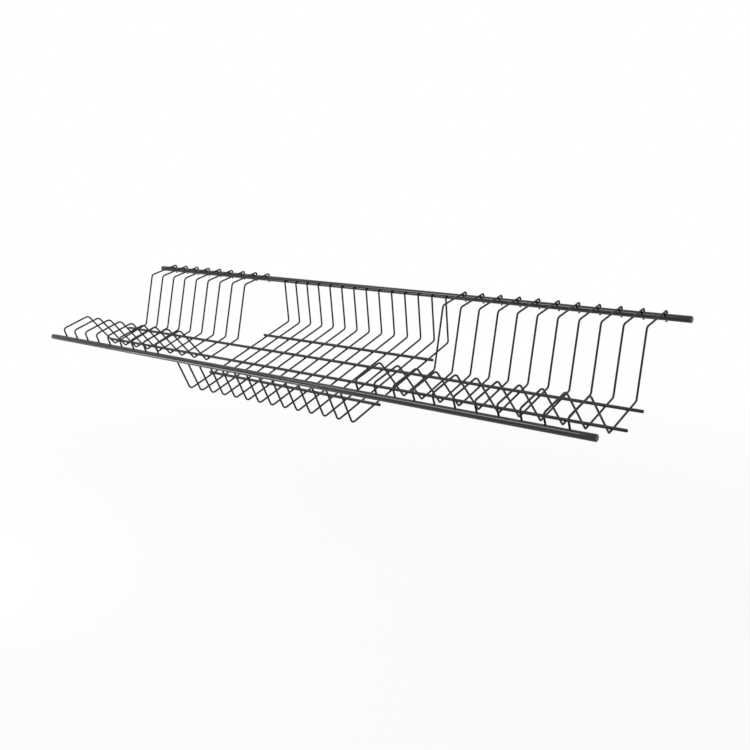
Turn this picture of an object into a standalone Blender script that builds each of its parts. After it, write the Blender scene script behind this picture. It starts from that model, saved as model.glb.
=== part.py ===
"""Wire dish drainer for a wall cabinet, in metres with +Z up.

Two thick rods carry rows of bent wires, and thin rods run across the wires. The origin is the centre
of the front rod's left end face. X runs along the rods, Y goes back into the cabinet and Z goes up.
Each wire is bent in a plane of its own, square to the rods, so a wire's shape is given in Y and Z.
"""

import math

import bpy
from mathutils import Matrix, Vector

MM = 0.001

# Thick rods, whose bare ends lie in holders on the cabinet's two sides
DRAINER_LENGTH = 865 * MM
THICK_ROD_DIAMETER = 7.5 * MM
THICK_ROD_CHAMFER = 0.6 * MM
BACK_ROD_SETBACK = 203 * MM
BACK_ROD_RISE = 82 * MM

# Thin rods that lie on the wires' sloping runs, placed by their distance behind or before a thick rod
THIN_ROD_DIAMETER = 3.6 * MM
THIN_ROD_CHAMFER = 0.4 * MM
LONG_ROD_END_INSET = 12 * MM
LOWER_LONG_ROD_SETBACK = 88.4 * MM
LONG_ROD_SPACING = 34.6 * MM
CENTRE_ROD_LEFT_OVERHANG = 2 * MM
CENTRE_ROD_RIGHT_OVERHANG = 12 * MM
LOWER_CENTRE_ROD_SETBACK = 56 * MM
UPPER_CENTRE_ROD_FORWARD = 46.5 * MM

# Wire, and the gap that its weld fills between two round faces
WIRE_DIAMETER = 2.3 * MM
WELD_GAP = 0.3 * MM
LAP_TAIL = 2 * MM

# Sloping run that every wire shares, set by its lowest corner in the centre section
RAMP_ANGLE = math.radians(19.7)
BASIN_SETBACK = 21 * MM
BASIN_DEPTH = 42 * MM

# Bends of the plate wires, which fill the left and right sections
RISER_HEIGHT = 14 * MM
PEAK_SETBACK = 42 * MM
PEAK_HEIGHT = 27.3 * MM
UPRIGHT_FOOT_BEHIND_ROD = 21 * MM
SHOULDER_FORWARD = 42.5 * MM
SHOULDER_DROP = 5 * MM
HOOK_TAIL = 6 * MM
VALLEY_AHEAD_OF_ROD = 3.5 * MM
RISER_BEND = 4 * MM
PEAK_BEND = 7 * MM
VALLEY_BEND = 2.5 * MM
UPRIGHT_FOOT_BEND = 4 * MM
SHOULDER_BEND = 5 * MM

# Bends of the centre wires
WALL_FOOT_BEHIND_ROD = 1 * MM
WALL_FOOT_BEND = 4 * MM
BASIN_BEND = 5 * MM

# Rows of wires along the rods
LEFT_END_MARGIN = 28 * MM
RIGHT_END_MARGIN = 30 * MM
PLATE_WIRE_PITCH = 26 * MM
LEFT_SECTION_WIDTH = 208 * MM
RIGHT_SECTION_WIDTH = 256 * MM
CENTRE_WIRE_PITCH = 21.4 * MM
LEFT_AISLE = 42 * MM
RIGHT_AISLE = 23 * MM

# Roundness of the meshes
THICK_ROD_SIDES = 24
THIN_ROD_SIDES = 16
WIRE_BEVEL_RESOLUTION = 2
ARC_STEP = math.radians(30)
SMOOTH_ANGLE = math.radians(40)
CHAMFERED_ANGLE = math.radians(60)

# Satin graphite powder coat on steel
COAT_COLOR = (0.045, 0.046, 0.05, 1)
COAT_ROUGHNESS = 0.42
COAT_METALLIC = 0.35

WIRE_RADIUS = WIRE_DIAMETER / 2
THICK_ROD_SEAT = (THICK_ROD_DIAMETER + WIRE_DIAMETER) / 2 + WELD_GAP
THIN_ROD_SEAT = (THIN_ROD_DIAMETER + WIRE_DIAMETER) / 2 + WELD_GAP
FRONT_ROD = Vector((0, 0))
BACK_ROD = Vector((BACK_ROD_SETBACK, BACK_ROD_RISE))
BASIN_CORNER = Vector((BASIN_SETBACK, -BASIN_DEPTH))


def on_ramp(setback, above=0):
    """Point this far behind the front rod and this far off the ramp, measured square to it."""
    rise = (setback - BASIN_SETBACK) * math.tan(RAMP_ANGLE) + above / math.cos(RAMP_ANGLE)
    return Vector((setback, rise - BASIN_DEPTH))


def heading_past(start, centre, distance):
    """Direction of a line from start that leaves the centre at this distance on its right."""
    towards = centre - start
    angle = math.atan2(towards.y, towards.x) + math.asin(distance / towards.length)
    return Vector((math.cos(angle), math.sin(angle)))


def lap_end(start, rod):
    """End of a wire that runs from start along one side of a thick rod and a little past it."""
    heading = heading_past(start, rod, THICK_ROD_SEAT)
    return start + heading * (heading.dot(rod - start) + LAP_TAIL)


def crossing(start, heading, other_start, other_heading):
    """Point where two lines cross."""
    share = (other_start - start).cross(other_heading) / heading.cross(other_heading)
    return start + heading * share


def bent_path(corners):
    """Centre line of a wire: straight runs between corners, with an arc of each corner's radius."""
    path = [corners[0][0]]
    for (before, _), (corner, radius), (after, _) in zip(corners, corners[1:], corners[2:]):
        back = (before - corner).normalized()
        onward = (after - corner).normalized()
        half_angle = back.angle(onward) / 2
        centre = corner + (back + onward).normalized() * radius / math.sin(half_angle)
        spoke = corner + back * radius / math.tan(half_angle) - centre
        turn = math.copysign(math.pi - 2 * half_angle, onward.cross(back))
        steps = math.ceil(abs(turn) / ARC_STEP)
        for step in range(steps + 1):
            path.append(centre + Matrix.Rotation(turn * step / steps, 2) @ spoke)
    path.append(corners[-1][0])
    return path


def plate_wire_corners():
    """Front lap, riser, peak, valley before the lower long rod, ramp, upright, and hook over the back rod."""
    riser_top = Vector((FRONT_ROD.x, RISER_HEIGHT))
    peak = Vector((PEAK_SETBACK, PEAK_HEIGHT))
    valley = on_ramp(LOWER_LONG_ROD_SETBACK - VALLEY_AHEAD_OF_ROD)
    upright_foot = on_ramp(LOWER_LONG_ROD_SETBACK + LONG_ROD_SPACING + UPRIGHT_FOOT_BEHIND_ROD)
    shoulder = BACK_ROD - Vector((SHOULDER_FORWARD, SHOULDER_DROP))
    over_rod = heading_past(shoulder, BACK_ROD, THICK_ROD_SEAT)
    behind_rod = BACK_ROD + Vector((THICK_ROD_SEAT, 0))
    hook_top = crossing(shoulder, over_rod, behind_rod, Vector((0, 1)))
    return [
        (lap_end(riser_top, FRONT_ROD), 0),
        (riser_top, RISER_BEND),
        (peak, PEAK_BEND),
        (valley, VALLEY_BEND),
        (upright_foot, UPRIGHT_FOOT_BEND),
        (shoulder, SHOULDER_BEND),
        (hook_top, THICK_ROD_SEAT),
        (behind_rod - Vector((0, HOOK_TAIL)), 0),
    ]


def centre_wire_corners():
    """Butt end under the front rod, basin corner, ramp, wall, and lap on the back rod's front."""
    towards_rod = (FRONT_ROD - BASIN_CORNER).normalized()
    wall_foot = on_ramp(BACK_ROD_SETBACK + WALL_FOOT_BEHIND_ROD)
    return [
        (FRONT_ROD - towards_rod * (THICK_ROD_DIAMETER / 2 + WELD_GAP), 0),
        (BASIN_CORNER, BASIN_BEND),
        (wall_foot, WALL_FOOT_BEND),
        (lap_end(wall_foot, BACK_ROD), 0),
    ]


def spread(first, last, pitch):
    """Evenly spaced places from first to last, as near to this pitch as fits."""
    gaps = max(1, round((last - first) / pitch))
    return [first + (last - first) * number / gaps for number in range(gaps + 1)]


def coat(name):
    """Powder coat of one row of wires or one rod."""
    material = bpy.data.materials.new(name + "_coat")
    material.use_nodes = True
    shader = material.node_tree.nodes["Principled BSDF"]
    shader.inputs["Base Color"].default_value = COAT_COLOR
    shader.inputs["Roughness"].default_value = COAT_ROUGHNESS
    shader.inputs["Metallic"].default_value = COAT_METALLIC
    return material


def place(obj, collection, parent):
    """Put an object in the drainer's collection, under its origin."""
    for holder in obj.users_collection:
        holder.objects.unlink(obj)
    collection.objects.link(obj)
    obj.parent = parent


def make_rod(name, diameter, chamfer, sides, start, end, centre):
    """Straight round rod along X, with chamfered ends."""
    bpy.ops.mesh.primitive_cylinder_add(
        vertices=sides,
        radius=diameter / 2,
        depth=end - start,
        location=((start + end) / 2, centre.x, centre.y),
        rotation=(0, math.pi / 2, 0),
    )
    rod = bpy.context.object
    rod.name = name
    rod.data.materials.append(coat(name))
    rod.data.shade_smooth()
    rod.data.set_sharp_from_angle(angle=SMOOTH_ANGLE)
    edges = rod.modifiers.new("end_chamfer", "BEVEL")
    edges.width = chamfer
    edges.segments = 1
    edges.limit_method = "ANGLE"
    edges.angle_limit = CHAMFERED_ANGLE
    return rod


def make_wires(name, corners, places):
    """Row of equal bent wires, one object at each place along X."""
    curve = bpy.data.curves.new(name, "CURVE")
    curve.dimensions = "3D"
    curve.bevel_depth = WIRE_RADIUS
    curve.bevel_resolution = WIRE_BEVEL_RESOLUTION
    curve.use_fill_caps = True
    curve.materials.append(coat(name))
    path = bent_path(corners)
    spline = curve.splines.new("POLY")
    spline.points.add(len(path) - 1)
    for point, (setback, height) in zip(spline.points, path):
        point.co = (0, setback, height, 1)
    wires = []
    for number, along in enumerate(places, start=1):
        wire = bpy.data.objects.new(f"{name}_{number:02d}", curve)
        wire.location.x = along
        wires.append(wire)
    return wires


def make_rods(centre_first, centre_last):
    """The two thick rods, the two long rods and the two rods of the centre section."""
    thick = (THICK_ROD_DIAMETER, THICK_ROD_CHAMFER, THICK_ROD_SIDES, 0, DRAINER_LENGTH)
    thin = (THIN_ROD_DIAMETER, THIN_ROD_CHAMFER, THIN_ROD_SIDES)
    full = (LONG_ROD_END_INSET, DRAINER_LENGTH - LONG_ROD_END_INSET)
    centre = (centre_first - CENTRE_ROD_LEFT_OVERHANG, centre_last + CENTRE_ROD_RIGHT_OVERHANG)
    seats = (
        ("lower_long_rod", full, LOWER_LONG_ROD_SETBACK),
        ("upper_long_rod", full, LOWER_LONG_ROD_SETBACK + LONG_ROD_SPACING),
        ("lower_centre_rod", centre, LOWER_CENTRE_ROD_SETBACK),
        ("upper_centre_rod", centre, BACK_ROD_SETBACK - UPPER_CENTRE_ROD_FORWARD),
    )
    rods = [make_rod("front_rod", *thick, FRONT_ROD), make_rod("back_rod", *thick, BACK_ROD)]
    for name, ends, setback in seats:
        rods.append(make_rod(name, *thin, *ends, on_ramp(setback, THIN_ROD_SEAT)))
    return rods


def main():
    for obj in list(bpy.data.objects):
        bpy.data.objects.remove(obj)
    drainer = bpy.data.collections.new("cabinet_dish_drainer")
    bpy.context.scene.collection.children.link(drainer)
    origin = bpy.data.objects.new("drainer_origin", None)
    drainer.objects.link(origin)

    left_last = LEFT_END_MARGIN + LEFT_SECTION_WIDTH
    right_last = DRAINER_LENGTH - RIGHT_END_MARGIN
    right_first = right_last - RIGHT_SECTION_WIDTH
    centre_first = left_last + LEFT_AISLE
    centre_last = right_first - RIGHT_AISLE
    plate_wire = plate_wire_corners()
    pieces = make_rods(centre_first, centre_last)
    rows = (
        ("left_wire", plate_wire, LEFT_END_MARGIN, left_last, PLATE_WIRE_PITCH),
        ("right_wire", plate_wire, right_first, right_last, PLATE_WIRE_PITCH),
        ("centre_wire", centre_wire_corners(), centre_first, centre_last, CENTRE_WIRE_PITCH),
    )
    for name, corners, first, last, pitch in rows:
        pieces += make_wires(name, corners, spread(first, last, pitch))
    for piece in pieces:
        place(piece, drainer, origin)


main()
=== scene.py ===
"""Looks of the wire dish drainer: fine wires and rods, weld fillets, coat, light and camera.

Lengths are in metres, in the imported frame's own axes: X along the rods, Y back into the cabinet,
Z up. The named sizes and the wires' paths say again what the part's source says, since only the
frame is read here. Points of a wire's profile are 2-D vectors of Y and Z.
"""

import math
import random

import bmesh
import bpy
from mathutils import Matrix, Vector


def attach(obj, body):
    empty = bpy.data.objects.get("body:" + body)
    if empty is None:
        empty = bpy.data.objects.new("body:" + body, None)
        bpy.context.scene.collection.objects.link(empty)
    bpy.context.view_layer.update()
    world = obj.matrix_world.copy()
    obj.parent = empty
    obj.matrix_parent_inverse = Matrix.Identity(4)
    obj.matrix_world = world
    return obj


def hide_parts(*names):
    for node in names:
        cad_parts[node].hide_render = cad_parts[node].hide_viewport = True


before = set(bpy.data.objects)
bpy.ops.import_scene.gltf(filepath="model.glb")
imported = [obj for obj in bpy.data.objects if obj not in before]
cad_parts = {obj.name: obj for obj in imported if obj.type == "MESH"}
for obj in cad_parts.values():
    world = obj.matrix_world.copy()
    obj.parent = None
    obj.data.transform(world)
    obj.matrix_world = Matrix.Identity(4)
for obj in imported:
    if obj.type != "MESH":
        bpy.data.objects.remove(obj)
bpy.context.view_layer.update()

MM = 0.001

# Sizes of the part's source
DRAINER_LENGTH = 865 * MM
THICK_ROD_DIAMETER = 7.5 * MM
BACK_ROD_SETBACK = 203 * MM
BACK_ROD_RISE = 82 * MM
THIN_ROD_DIAMETER = 3.6 * MM
LONG_ROD_END_INSET = 12 * MM
LOWER_LONG_ROD_SETBACK = 88.4 * MM
LONG_ROD_SPACING = 34.6 * MM
CENTRE_ROD_LEFT_OVERHANG = 2 * MM
CENTRE_ROD_RIGHT_OVERHANG = 12 * MM
LOWER_CENTRE_ROD_SETBACK = 56 * MM
UPPER_CENTRE_ROD_FORWARD = 46.5 * MM
WIRE_DIAMETER = 2.3 * MM
WELD_GAP = 0.3 * MM
LAP_TAIL = 2 * MM
RAMP_ANGLE = math.radians(19.7)
BASIN_SETBACK = 21 * MM
BASIN_DEPTH = 42 * MM
RISER_HEIGHT = 14 * MM
PEAK_SETBACK = 42 * MM
PEAK_HEIGHT = 27.3 * MM
VALLEY_AHEAD_OF_ROD = 3.5 * MM
UPRIGHT_FOOT_BEHIND_ROD = 21 * MM
SHOULDER_FORWARD = 42.5 * MM
SHOULDER_DROP = 5 * MM
HOOK_TAIL = 6 * MM
RISER_BEND = 4 * MM
PEAK_BEND = 7 * MM
VALLEY_BEND = 2.5 * MM
UPRIGHT_FOOT_BEND = 4 * MM
SHOULDER_BEND = 5 * MM
WALL_FOOT_BEHIND_ROD = 1 * MM
WALL_FOOT_BEND = 4 * MM
BASIN_BEND = 5 * MM
LEFT_END_MARGIN = 28 * MM
RIGHT_END_MARGIN = 30 * MM
LEFT_SECTION_WIDTH = 208 * MM
RIGHT_SECTION_WIDTH = 256 * MM
LEFT_AISLE = 42 * MM
RIGHT_AISLE = 23 * MM
LEFT_WIRES, CENTRE_WIRES, RIGHT_WIRES = 9, 14, 11

# Sizes that only the looks have
THICK_ROD_END_ROUND = 1 * MM
THIN_ROD_END_ROUND = 1.3 * MM
WIRE_TIP_ROUND = 0.35 * MM
HOOK_BEND = 2.2 * MM
END_DISH_DEPTH = 0.12 * MM
# Rings of a dished end face: share of the dish's depth, share of the face's radius, bareness
END_DISH_RINGS = ((1, 0.4, 0.1), (0.7, 0.75, 0.15))

# How bare the coat leaves cut ends, from 0 to 1
ROD_FACE_BARE = 0.1
ROD_EDGE_BARE = 0.6
WIRE_TIP_BARE = 1.0

# Fineness of the looks' meshes
THICK_ROD_SIDES = 48
THIN_ROD_SIDES = 24
WIRE_SIDES = 14
ARC_STEP = math.radians(9)
ROUND_STEPS = 4
RING_SPACING = 18 * MM
SHARP_EDGE = math.radians(50)

# Weld fillets between a rod and the wires that cross it
FILLET_SIDES = 20
FILLET_STEPS = 5
FILLET_SUNK = 0.12 * MM
FILLET_UNEVEN = 0.1
FILLET_SECOND_WAVE = 0.6
FILLET_SEED = 34
# Half width on the rod and on the wire, in wire radii
FILLET_REACH = 1.3
FILLET_GRIP = 0.8
# Most of the rod's radius that a fillet takes along the wire, and the share it keeps on the wire
FILLET_ROD_SHARE = 0.7
FILLET_TAPER = 0.95
# Size of the curve's middle point at the waist, as a share of the size on the wire
FILLET_WAIST = 0.78
# Size of the fillets under the hooks, as a share of the others
HOOK_FILLET_SIZE = 0.6
# Weld collars round the centre wires' front ends, in wire radii
COLLAR_REACH = 1.4
COLLAR_LENGTH = 0.95
COLLAR_WAIST = 1.04

# Powder coat. Scales are for object coordinates in metres, and tones multiply the coat's colour.
COAT_COLOUR = (0.01, 0.01, 0.0102)
BARE_STEEL = (0.13, 0.132, 0.135, 1)
CLOUD_SCALE, CLOUD_DETAIL = 55, 3
CLOUD_RANGE = (0.3, 0.7)
CLOUD_TONES = (0.82, 1.2)
CLOUD_ROUGHNESS = (-0.03, 0.05)
FLECK_SCALE, FLECK_DETAIL = 2600, 1
FLECK_RANGE = (0.62, 0.72)
FLECK_TONE = 2.6
FLECK_COVER = 0.7
WEAR_SCALE, WEAR_DETAIL = 900, 3
WEAR_RANGE = (0.42, 0.62)
WEAR_COVER = 0.8
PEEL_SCALE, PEEL_DETAIL, PEEL_BLEND = 1150, 2, 0.45
PEEL_HEIGHT = 0.06 * MM
WELD_LUMP_SCALE, WELD_LUMP_DETAIL = 520, 3
WELD_ROUGHNESS = 0.08

# Backdrop
WORLD_LIGHT = 0.5
FLOOR_LEVEL = -0.3
FLOOR_HALF_WIDTH = 6
FLOOR_ROUGHNESS = 0.9
FLOOR_GRAIN_SCALE = 3
FLOOR_TONES = ((0.86, 0.86, 0.86, 1), (0.9, 0.9, 0.9, 1))
# Share of plain white in the floor under the object, and the distances over which it grows to 1
FLOOR_WHITE = 0.9
FLOOR_FADE = (0.4, 1.6)

# Softboxes: name, place, point aimed at, width and height, power in watts
SOFTBOXES = (
    ("right_softbox", (-0.27, -0.92, 0.97), (-0.27, 0.1, 0.04), (0.95, 0.45), 13),
    ("left_softbox", (-1.22, -0.92, 0.97), (-1.22, 0.1, 0.04), (0.9, 0.12), 0.8),
    ("low_softbox", (-0.1, -0.3, -0.26), (-0.1, 0, 0), (0.5, 0.25), 3.4),
)

# Camera, fitted to the photograph. Angles are in radians, the focal length in the picture's pixels.
PICTURE_WIDTH = 750
SENSOR_WIDTH = 36
CAMERA_PLACE = Vector((1.24689, -0.769, 0.23874))
CAMERA_YAW, CAMERA_PITCH, CAMERA_ROLL = 0.69411, 0.21198, -0.00558
CAMERA_FOCAL = 970.13
CAMERA_CLIP = (0.01, 100)

# Colour sockets of the Mix node, which has several of the same name
MIX_FIRST, MIX_SECOND, MIX_RESULT = 6, 7, 2

WIRE_RADIUS = WIRE_DIAMETER / 2
THICK_ROD_RADIUS = THICK_ROD_DIAMETER / 2
THIN_ROD_RADIUS = THIN_ROD_DIAMETER / 2
THICK_ROD_SEAT = THICK_ROD_RADIUS + WIRE_RADIUS + WELD_GAP
THIN_ROD_SEAT = THIN_ROD_RADIUS + WIRE_RADIUS + WELD_GAP
BASIN_CORNER = Vector((BASIN_SETBACK, -BASIN_DEPTH))
UNDER_ROD = Vector((math.sin(RAMP_ANGLE), -math.cos(RAMP_ANGLE)))

chance = random.Random(FILLET_SEED)


def on_ramp(setback, above=0):
    """Point this far behind the front rod and this far off the ramp, measured square to it."""
    rise = (setback - BASIN_SETBACK) * math.tan(RAMP_ANGLE) + above / math.cos(RAMP_ANGLE)
    return Vector((setback, rise - BASIN_DEPTH))


# Centres of the rods in the wires' profile
FRONT_ROD = Vector((0, 0))
BACK_ROD = Vector((BACK_ROD_SETBACK, BACK_ROD_RISE))
LOWER_LONG_ROD = on_ramp(LOWER_LONG_ROD_SETBACK, THIN_ROD_SEAT)
UPPER_LONG_ROD = on_ramp(LOWER_LONG_ROD_SETBACK + LONG_ROD_SPACING, THIN_ROD_SEAT)
LOWER_CENTRE_ROD = on_ramp(LOWER_CENTRE_ROD_SETBACK, THIN_ROD_SEAT)
UPPER_CENTRE_ROD = on_ramp(BACK_ROD_SETBACK - UPPER_CENTRE_ROD_FORWARD, THIN_ROD_SEAT)


def left_of(heading):
    """Direction square to a heading, on its left."""
    return Vector((-heading.y, heading.x))


def heading_past(start, centre, distance):
    """Direction of a line from start that leaves the centre at this distance on its right."""
    towards = centre - start
    angle = math.atan2(towards.y, towards.x) + math.asin(distance / towards.length)
    return Vector((math.cos(angle), math.sin(angle)))


def lap_end(start, rod):
    """End of a wire that runs from start along one side of a thick rod and a little past it."""
    heading = heading_past(start, rod, THICK_ROD_SEAT)
    return start + heading * (heading.dot(rod - start) + LAP_TAIL)


def crossing(start, heading, other_start, other_heading):
    """Point where two lines cross."""
    share = (other_start - start).cross(other_heading) / heading.cross(other_heading)
    return start + heading * share


def bent_path(corners):
    """Centre line of a wire: straight runs between corners, with an arc of each one's radius."""
    path = [corners[0][0]]
    for (before, _), (corner, radius), (after, _) in zip(corners, corners[1:], corners[2:]):
        back = (before - corner).normalized()
        onward = (after - corner).normalized()
        half_angle = back.angle(onward) / 2
        centre = corner + (back + onward).normalized() * radius / math.sin(half_angle)
        spoke = corner + back * radius / math.tan(half_angle) - centre
        turn = math.copysign(math.pi - 2 * half_angle, onward.cross(back))
        steps = math.ceil(abs(turn) / ARC_STEP)
        for step in range(steps + 1):
            path.append(centre + Matrix.Rotation(turn * step / steps, 2) @ spoke)
    path.append(corners[-1][0])
    return path


def spread(first, last, count):
    """Evenly spaced places from first to last."""
    return [first + (last - first) * number / (count - 1) for number in range(count)]


def turns(count):
    """Evenly spaced angles round a ring."""
    return [math.tau * number / count for number in range(count)]


def bowed(start, waist, end, share):
    """Place at this share of a curve from start to end that the waist draws aside."""
    return (1 - share) ** 2 * start + 2 * share * (1 - share) * waist + share**2 * end


class Seat:
    """Where a straight run of wire touches a rod: out is the direction from the rod's centre."""

    def __init__(self, rod, radius, out, fillet_size=1.0):
        self.rod, self.radius, self.out, self.fillet_size = rod, radius, out, fillet_size

    def point(self, across, along, height):
        """Place of a fillet's vertex, measured across and along the wire and up from the rod."""
        spot = self.rod + self.out * (self.radius + height) + left_of(self.out) * along
        return Vector((across, spot.x, spot.y))

    def drop(self, along):
        """How far the rod's skin falls away from the wire at this place along it."""
        return self.radius - math.sqrt(max(self.radius**2 - along**2, 0))


def plate_wire():
    """Corners of a plate wire, its four seats, and that it isn't butt-welded."""
    riser_top = Vector((FRONT_ROD.x, RISER_HEIGHT))
    peak = Vector((PEAK_SETBACK, PEAK_HEIGHT))
    valley = on_ramp(LOWER_LONG_ROD_SETBACK - VALLEY_AHEAD_OF_ROD)
    upright_foot = on_ramp(LOWER_LONG_ROD_SETBACK + LONG_ROD_SPACING + UPRIGHT_FOOT_BEHIND_ROD)
    shoulder = BACK_ROD - Vector((SHOULDER_FORWARD, SHOULDER_DROP))
    over_rod = heading_past(shoulder, BACK_ROD, THICK_ROD_SEAT)
    behind_rod = BACK_ROD + Vector((THICK_ROD_SEAT, 0))
    hook_top = crossing(shoulder, over_rod, behind_rod, Vector((0, 1)))
    corners = [
        (lap_end(riser_top, FRONT_ROD), 0),
        (riser_top, RISER_BEND),
        (peak, PEAK_BEND),
        (valley, VALLEY_BEND),
        (upright_foot, UPRIGHT_FOOT_BEND),
        (shoulder, SHOULDER_BEND),
        (hook_top, HOOK_BEND),
        (behind_rod - Vector((0, HOOK_TAIL)), 0),
    ]
    down = heading_past(riser_top, FRONT_ROD, THICK_ROD_SEAT)
    seats = [
        Seat(FRONT_ROD, THICK_ROD_RADIUS, left_of(down)),
        Seat(LOWER_LONG_ROD, THIN_ROD_RADIUS, UNDER_ROD),
        Seat(UPPER_LONG_ROD, THIN_ROD_RADIUS, UNDER_ROD),
        Seat(BACK_ROD, THICK_ROD_RADIUS, left_of(over_rod), HOOK_FILLET_SIZE),
    ]
    return corners, seats, False


def centre_wire():
    """Corners of a centre wire, its five seats, and that it is butt-welded to the front rod."""
    towards_rod = (FRONT_ROD - BASIN_CORNER).normalized()
    wall_foot = on_ramp(BACK_ROD_SETBACK + WALL_FOOT_BEHIND_ROD)
    corners = [
        (FRONT_ROD - towards_rod * (THICK_ROD_RADIUS + WELD_GAP), 0),
        (BASIN_CORNER, BASIN_BEND),
        (wall_foot, WALL_FOOT_BEND),
        (lap_end(wall_foot, BACK_ROD), 0),
    ]
    up = heading_past(wall_foot, BACK_ROD, THICK_ROD_SEAT)
    thin_rods = (LOWER_CENTRE_ROD, LOWER_LONG_ROD, UPPER_LONG_ROD, UPPER_CENTRE_ROD)
    seats = [Seat(rod, THIN_ROD_RADIUS, UNDER_ROD) for rod in thin_rods]
    seats.append(Seat(BACK_ROD, THICK_ROD_RADIUS, left_of(up)))
    return corners, seats, True


class Skin:
    """Vertices, faces, and two masks that the coat's material reads: bareness and welds."""

    def __init__(self):
        self.vertices, self.faces, self.bareness, self.welds = [], [], [], []

    def ring(self, points, bare=0.0, weld=0.0):
        """Add vertices and return their numbers."""
        first = len(self.vertices)
        self.vertices += [tuple(point) for point in points]
        self.bareness += [bare] * len(points)
        self.welds += [weld] * len(points)
        return list(range(first, first + len(points)))

    def join(self, ring, following):
        """Band of faces between two rings."""
        count = len(ring)
        for k in range(count):
            after = (k + 1) % count
            self.faces.append((ring[k], ring[after], following[after], following[k]))

    def cap(self, ring, middle, bare, weld):
        """Fan of faces from a ring to a middle point."""
        hub = self.ring([middle], bare, weld)[0]
        for this, after in zip(ring, ring[1:] + ring[:1]):
            self.faces.append((this, after, hub))

    def tube(self, rings, first_middle, last_middle, bare=0.0, weld=0.0):
        """Closed tube through rings, with a capped end on either side."""
        for ring, following in zip(rings, rings[1:]):
            self.join(ring, following)
        self.cap(rings[0][::-1], first_middle, bare, weld)
        self.cap(rings[-1], last_middle, bare, weld)

    def finish(self, node, material):
        """Make the mesh object that replaces a node of the frame."""
        name = node + "_coated"
        mesh = bpy.data.meshes.new(name)
        mesh.from_pydata(self.vertices, [], self.faces)
        mesh.validate()
        shell = bmesh.new()
        shell.from_mesh(mesh)
        bmesh.ops.recalc_face_normals(shell, faces=shell.faces)
        shell.to_mesh(mesh)
        shell.free()
        for label, values in (("bare_edge", self.bareness), ("weld", self.welds)):
            mask = mesh.attributes.new(label, "FLOAT", "POINT")
            mask.data.foreach_set("value", values)
        mesh.shade_smooth()
        mesh.set_sharp_from_angle(angle=SHARP_EDGE)
        mesh.materials.append(material)
        piece = bpy.data.objects.new(name, mesh)
        bpy.context.scene.collection.objects.link(piece)
        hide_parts(node)
        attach(piece, "root")


def add_bead(skin, x, rings, first_middle, last_middle):
    """Closed bead of weld from rings of points, moved along X to its wire."""
    offset = Vector((x, 0, 0))
    numbers = [skin.ring([point + offset for point in ring], weld=1.0) for ring in rings]
    skin.tube(numbers, first_middle + offset, last_middle + offset, weld=1.0)


def add_fillet(skin, seat, x):
    """Weld between a rod and the wire on it: an hourglass whose ends lie under both skins."""
    reach = FILLET_REACH * WIRE_RADIUS
    reach_across = reach * seat.fillet_size
    reach_along = min(reach, FILLET_ROD_SHARE * seat.radius) * seat.fillet_size
    grip = FILLET_GRIP * WIRE_RADIUS * seat.fillet_size
    lean = chance.uniform(0, math.tau)
    second_lean = chance.uniform(0, math.tau)
    rings = [[] for _ in range(FILLET_STEPS + 1)]
    for turn in turns(FILLET_SIDES):
        waves = math.sin(2 * turn + lean) + FILLET_SECOND_WAVE * math.sin(3 * turn + second_lean)
        uneven = 1 + FILLET_UNEVEN * waves
        across, along = math.cos(turn), math.sin(turn)
        low_along = reach_along * along * uneven
        low = (reach_across * across * uneven, low_along, -seat.drop(low_along) - FILLET_SUNK)
        high_across = grip * across
        wire_skin = WELD_GAP + WIRE_RADIUS - math.sqrt(WIRE_RADIUS**2 - high_across**2)
        high = (high_across, reach_along * along * FILLET_TAPER, wire_skin + FILLET_SUNK)
        waist = (FILLET_WAIST * high[0], FILLET_WAIST * high[1], WELD_GAP / 2)
        for step, ring in enumerate(rings):
            share = step / FILLET_STEPS
            ring.append(seat.point(*(bowed(*places, share) for places in zip(low, waist, high))))
    under_rod_skin = seat.point(0, 0, -2 * FILLET_SUNK)
    under_wire_skin = seat.point(0, 0, WELD_GAP + 2 * FILLET_SUNK)
    add_bead(skin, x, rings, under_rod_skin, under_wire_skin)


def add_collar(skin, end, x):
    """Weld round a wire's end that points at the front rod."""
    towards = (FRONT_ROD - end).normalized()
    side = left_of(towards)
    lean = chance.uniform(0, math.tau)
    rings = [[] for _ in range(FILLET_STEPS + 1)]
    for turn in turns(FILLET_SIDES):
        across, beside = math.cos(turn), math.sin(turn)
        reach = COLLAR_REACH * WIRE_RADIUS * (1 + FILLET_UNEVEN * math.sin(2 * turn + lean))
        length = COLLAR_LENGTH * WIRE_RADIUS * (1 + FILLET_UNEVEN * math.sin(turn + lean))
        to_skin = (FRONT_ROD - end).length - math.sqrt(THICK_ROD_RADIUS**2 - (reach * beside) ** 2)
        profile = []
        for radius, ahead in (
            (WIRE_RADIUS - FILLET_SUNK, -length),
            (COLLAR_WAIST * WIRE_RADIUS, to_skin - FILLET_SUNK),
            (reach, to_skin + FILLET_SUNK),
        ):
            spot = end + towards * ahead + side * (radius * beside)
            profile.append(Vector((radius * across, spot.x, spot.y)))
        for step, ring in enumerate(rings):
            ring.append(bowed(*profile, step / FILLET_STEPS))
    inside_wire = end - towards * WIRE_RADIUS
    inside_rod = end + towards * (WELD_GAP + WIRE_RADIUS)
    add_bead(skin, x, rings, Vector((0, *inside_wire)), Vector((0, *inside_rod)))


def rounded_edge(radius, rounding, bareness):
    """Steps of a cut end's rounded edge, from its face: depth, radius and bareness."""
    steps = []
    for step in range(ROUND_STEPS + 1):
        share = step / ROUND_STEPS
        depth = rounding * (1 - math.cos(math.pi / 2 * share))
        inset = rounding * (1 - math.sin(math.pi / 2 * share))
        steps.append((depth, radius - inset, bareness * (1 - share)))
    return steps


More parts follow.
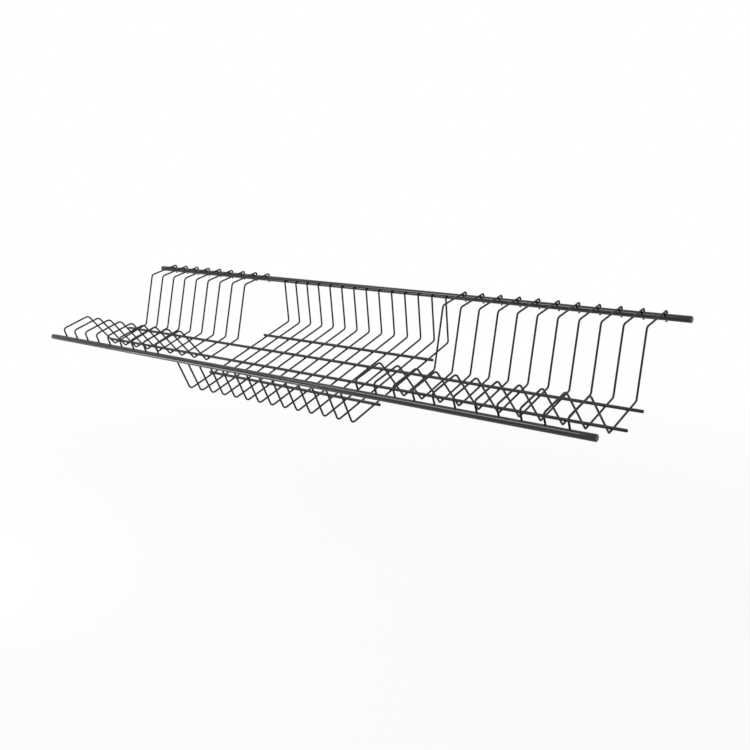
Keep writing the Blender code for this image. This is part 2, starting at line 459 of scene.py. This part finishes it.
def wire_ring(x, spot, heading, radius):
    """Points round a place of a wire's centre line, square to its heading."""
    points = []
    for turn in turns(WIRE_SIDES):
        flat = spot + left_of(heading) * (radius * math.sin(turn))
        points.append((x + radius * math.cos(turn), flat.x, flat.y))
    return points


def make_wire(node, corners, seats, butt_welded, x, material):
    """One bent wire with rounded tips, and the fillets of its welds."""
    path = bent_path(corners)
    headings = [
        (after - before).normalized()
        for before, after in zip(path[:1] + path[:-1], path[1:] + path[-1:])
    ]
    tip = rounded_edge(WIRE_RADIUS, WIRE_TIP_ROUND, WIRE_TIP_BARE)
    stations = [
        (path[0] + headings[0] * depth, headings[0], radius, bare) for depth, radius, bare in tip
    ]
    for spot, heading, following in zip(path[1:-1], headings[1:-1], path[2:]):
        stations.append((spot, heading, WIRE_RADIUS, 0.0))
        between = int((following - spot).length / RING_SPACING)
        straight = (following - spot).normalized()
        for step in range(1, between + 1):
            place = spot.lerp(following, step / (between + 1))
            stations.append((place, straight, WIRE_RADIUS, 0.0))
    stations += [
        (path[-1] - headings[-1] * depth, headings[-1], radius, bare)
        for depth, radius, bare in reversed(tip)
    ]
    skin = Skin()
    rings = [
        skin.ring(wire_ring(x, spot, heading, radius), bare)
        for spot, heading, radius, bare in stations
    ]
    skin.tube(rings, (x, *path[0]), (x, *path[-1]), WIRE_TIP_BARE)
    for seat in seats:
        add_fillet(skin, seat, x)
    if butt_welded:
        add_collar(skin, path[0], x)
    skin.finish(node, material)


def make_rod(node, radius, end_round, sides, start, end, centre, material):
    """Straight rod with rounded edges and slightly dished end faces."""
    face = radius - end_round
    profile = [
        (depth_share * END_DISH_DEPTH, face_share * face, bare)
        for depth_share, face_share, bare in END_DISH_RINGS
    ]
    profile += rounded_edge(radius, end_round, ROD_EDGE_BARE)
    bays = int((end - start) / RING_SPACING)
    stations = [(start + depth, at, bare) for depth, at, bare in profile]
    stations += [(start + (end - start) * bay / bays, radius, 0.0) for bay in range(1, bays)]
    stations += [(end - depth, at, bare) for depth, at, bare in reversed(profile)]
    skin = Skin()
    rings = []
    for along, at, bare in stations:
        points = [
            (along, centre.x + at * math.cos(turn), centre.y + at * math.sin(turn))
            for turn in turns(sides)
        ]
        rings.append(skin.ring(points, bare))
    first_middle = (start + END_DISH_DEPTH, *centre)
    last_middle = (end - END_DISH_DEPTH, *centre)
    skin.tube(rings, first_middle, last_middle, ROD_FACE_BARE)
    skin.finish(node, material)


def connect(tree, node, inputs):
    """Set each of these inputs to its value, or link it to another node's output."""
    for key, value in inputs.items():
        if isinstance(value, bpy.types.NodeSocket):
            tree.links.new(value, node.inputs[key])
        else:
            node.inputs[key].default_value = value


def add_node(tree, kind, inputs, **settings):
    """Add a shader node and return its outputs."""
    node = tree.nodes.new("ShaderNode" + kind)
    for setting, value in settings.items():
        setattr(node, setting, value)
    connect(tree, node, inputs)
    return node.outputs


def combine(tree, operation, first, second):
    """Output of a Math node."""
    return add_node(tree, "Math", {0: first, 1: second}, operation=operation)[0]


def map_range(tree, value, source, target, interpolation="LINEAR"):
    """Value moved from one range to another."""
    inputs = {
        "Value": value,
        "From Min": source[0],
        "From Max": source[1],
        "To Min": target[0],
        "To Max": target[1],
    }
    return add_node(tree, "MapRange", inputs, interpolation_type=interpolation)["Result"]


def mix_colours(tree, factor, first, second):
    """Blend of two colours."""
    inputs = {"Factor": factor, MIX_FIRST: first, MIX_SECOND: second}
    return add_node(tree, "Mix", inputs, data_type="RGBA")[MIX_RESULT]


def new_material(name):
    """Material with nodes: it, its node tree and its shader."""
    material = bpy.data.materials.new(name)
    material.use_nodes = True
    return material, material.node_tree, material.node_tree.nodes["Principled BSDF"]


def coat(name, roughness, specular_level, peel_strength):
    """Satin powder coat with orange peel, faint clouds, pale flecks and thin places at cut ends."""
    material, tree, shader = new_material(name)
    place = add_node(tree, "TexCoord", {})["Object"]

    def noise(scale, detail, blend=0.5):
        inputs = {"Vector": place, "Scale": scale, "Detail": detail, "Roughness": blend}
        return add_node(tree, "TexNoise", inputs)["Fac"]

    def mask(label):
        return add_node(tree, "Attribute", {}, attribute_name=label)["Fac"]

    def toned(share):
        return (*(share * channel for channel in COAT_COLOUR), 1)

    cloud = noise(CLOUD_SCALE, CLOUD_DETAIL)
    clouds = map_range(tree, cloud, CLOUD_RANGE, (0, 1))
    body = mix_colours(tree, clouds, toned(CLOUD_TONES[0]), toned(CLOUD_TONES[1]))
    flecks = map_range(tree, noise(FLECK_SCALE, FLECK_DETAIL), FLECK_RANGE, (0, FLECK_COVER))
    body = mix_colours(tree, flecks, body, toned(FLECK_TONE))
    wear = map_range(tree, noise(WEAR_SCALE, WEAR_DETAIL), WEAR_RANGE, (0, WEAR_COVER))
    body = mix_colours(tree, combine(tree, "MULTIPLY", mask("bare_edge"), wear), body, BARE_STEEL)

    clouded = tuple(roughness + change for change in CLOUD_ROUGHNESS)
    rough = map_range(tree, cloud, CLOUD_RANGE, clouded)
    weld_rough = combine(tree, "MULTIPLY", mask("weld"), WELD_ROUGHNESS)

    peel = noise(PEEL_SCALE, PEEL_DETAIL, PEEL_BLEND)
    lumps = combine(tree, "MULTIPLY", mask("weld"), noise(WELD_LUMP_SCALE, WELD_LUMP_DETAIL))
    relief = {
        "Strength": peel_strength,
        "Distance": PEEL_HEIGHT,
        "Height": combine(tree, "ADD", peel, lumps),
    }
    connect(
        tree,
        shader,
        {
            "Metallic": 0.0,
            "IOR": 1.5,
            "Specular IOR Level": specular_level,
            "Base Color": body,
            "Roughness": combine(tree, "ADD", rough, weld_rough),
            "Normal": add_node(tree, "Bump", relief)["Normal"],
        },
    )
    return material


def seen_directly(tree):
    """1 for rays that show the backdrop itself: from the camera, off gloss or through glass."""
    rays = add_node(tree, "LightPath", {})
    seen = rays["Is Camera Ray"]
    for kind in ("Is Glossy Ray", "Is Transmission Ray"):
        seen = combine(tree, "MAXIMUM", seen, rays[kind])
    return seen


def add_world():
    """White backdrop whose light on the object is dimmer than it looks."""
    world = bpy.data.worlds.new("studio")
    bpy.context.scene.world = world
    world.use_nodes = True
    tree = world.node_tree
    strength = map_range(tree, seen_directly(tree), (0, 1), (WORLD_LIGHT, 1))
    connect(tree, tree.nodes["Background"], {"Color": (1, 1, 1, 1), "Strength": strength})


def add_floor():
    """Pale floor that keeps a faint shadow and runs out to plain white."""
    sides = ((-1, -1), (1, -1), (1, 1), (-1, 1))
    corners = [(FLOOR_HALF_WIDTH * x, FLOOR_HALF_WIDTH * y, FLOOR_LEVEL) for x, y in sides]
    mesh = bpy.data.meshes.new("floor")
    mesh.from_pydata(corners, [], [(0, 1, 2, 3)])
    floor = bpy.data.objects.new("floor", mesh)
    bpy.context.scene.collection.objects.link(floor)

    material, tree, shader = new_material("pale_floor")
    grain = add_node(tree, "TexNoise", {"Scale": FLOOR_GRAIN_SCALE})["Fac"]
    tone = mix_colours(tree, grain, *FLOOR_TONES)
    connect(
        tree,
        shader,
        {"Roughness": FLOOR_ROUGHNESS, "Specular IOR Level": 0.0, "Base Color": tone},
    )
    below_object = (DRAINER_LENGTH / 2, BACK_ROD_SETBACK / 2, FLOOR_LEVEL)
    ends = {0: add_node(tree, "NewGeometry", {})["Position"], 1: below_object}
    distance = add_node(tree, "VectorMath", ends, operation="DISTANCE")["Value"]
    whiteness = map_range(tree, distance, FLOOR_FADE, (FLOOR_WHITE, 1), "SMOOTHSTEP")
    blend = {
        "Fac": combine(tree, "MULTIPLY", seen_directly(tree), whiteness),
        1: shader.outputs["BSDF"],
        2: add_node(tree, "Emission", {"Strength": 1})["Emission"],
    }
    surface = add_node(tree, "MixShader", blend)["Shader"]
    connect(tree, tree.nodes["Material Output"], {"Surface": surface})
    mesh.materials.append(material)


def add_lamp(name, place, aim, size, power):
    """Softbox whose long side lies level and which faces the point aimed at."""
    lamp = bpy.data.lights.new(name, "AREA")
    lamp.shape = "RECTANGLE"
    lamp.size, lamp.size_y = size
    lamp.energy = power
    holder = bpy.data.objects.new(name, lamp)
    bpy.context.scene.collection.objects.link(holder)
    back = (Vector(place) - Vector(aim)).normalized()
    along = (Vector((1, 0, 0)) - back * back.x).normalized()
    axes = Matrix((along, back.cross(along), back)).transposed().to_4x4()
    holder.matrix_world = Matrix.Translation(place) @ axes
    holder.visible_camera = False


def add_camera():
    """Camera at the photograph's viewing angle: yaw about Z, pitch below the horizon, and roll."""
    data = bpy.data.cameras.new("camera")
    data.sensor_width = SENSOR_WIDTH
    data.lens = CAMERA_FOCAL / PICTURE_WIDTH * SENSOR_WIDTH
    data.clip_start, data.clip_end = CAMERA_CLIP
    camera = bpy.data.objects.new("camera", data)
    bpy.context.scene.collection.objects.link(camera)
    level = Vector((math.cos(CAMERA_YAW), math.sin(CAMERA_YAW), 0))
    forward = Vector(
        (
            -math.sin(CAMERA_YAW) * math.cos(CAMERA_PITCH),
            math.cos(CAMERA_YAW) * math.cos(CAMERA_PITCH),
            -math.sin(CAMERA_PITCH),
        )
    )
    upright = level.cross(forward)
    across = math.cos(CAMERA_ROLL) * level + math.sin(CAMERA_ROLL) * upright
    up = -math.sin(CAMERA_ROLL) * level + math.cos(CAMERA_ROLL) * upright
    axes = Matrix((across, up, -forward)).transposed().to_4x4()
    camera.matrix_world = Matrix.Translation(CAMERA_PLACE) @ axes
    bpy.context.scene.camera = camera


left_last = LEFT_END_MARGIN + LEFT_SECTION_WIDTH
right_last = DRAINER_LENGTH - RIGHT_END_MARGIN
right_first = right_last - RIGHT_SECTION_WIDTH
centre_first = left_last + LEFT_AISLE
centre_last = right_first - RIGHT_AISLE

thick_rod_coat = coat(
    "thick_rod_powder_coat", roughness=0.18, specular_level=0.4, peel_strength=0.15
)
thin_rod_coat = coat("thin_rod_powder_coat", roughness=0.42, specular_level=0.3, peel_strength=0.5)
wire_coat = coat("wire_powder_coat", roughness=0.45, specular_level=0.3, peel_strength=0.5)

thick = (THICK_ROD_RADIUS, THICK_ROD_END_ROUND, THICK_ROD_SIDES)
thin = (THIN_ROD_RADIUS, THIN_ROD_END_ROUND, THIN_ROD_SIDES)
whole_length = (0, DRAINER_LENGTH)
inset_length = (LONG_ROD_END_INSET, DRAINER_LENGTH - LONG_ROD_END_INSET)
centre_length = (
    centre_first - CENTRE_ROD_LEFT_OVERHANG,
    centre_last + CENTRE_ROD_RIGHT_OVERHANG,
)
for rod, build, ends, rod_centre, rod_material in (
    ("front_rod", thick, whole_length, FRONT_ROD, thick_rod_coat),
    ("back_rod", thick, whole_length, BACK_ROD, thick_rod_coat),
    ("lower_long_rod", thin, inset_length, LOWER_LONG_ROD, thin_rod_coat),
    ("upper_long_rod", thin, inset_length, UPPER_LONG_ROD, thin_rod_coat),
    ("lower_centre_rod", thin, centre_length, LOWER_CENTRE_ROD, thin_rod_coat),
    ("upper_centre_rod", thin, centre_length, UPPER_CENTRE_ROD, thin_rod_coat),
):
    make_rod(rod, *build, *ends, rod_centre, rod_material)
for row, shape, wire_places in (
    ("left_wire", plate_wire(), spread(LEFT_END_MARGIN, left_last, LEFT_WIRES)),
    ("right_wire", plate_wire(), spread(right_first, right_last, RIGHT_WIRES)),
    ("centre_wire", centre_wire(), spread(centre_first, centre_last, CENTRE_WIRES)),
):
    for wire_number, wire_x in enumerate(wire_places, start=1):
        make_wire(f"{row}_{wire_number:02d}", *shape, wire_x, wire_coat)

add_world()
add_floor()
for softbox in SOFTBOXES:
    add_lamp(*softbox)
add_camera()
bpy.context.scene.view_settings.view_transform = "Standard"
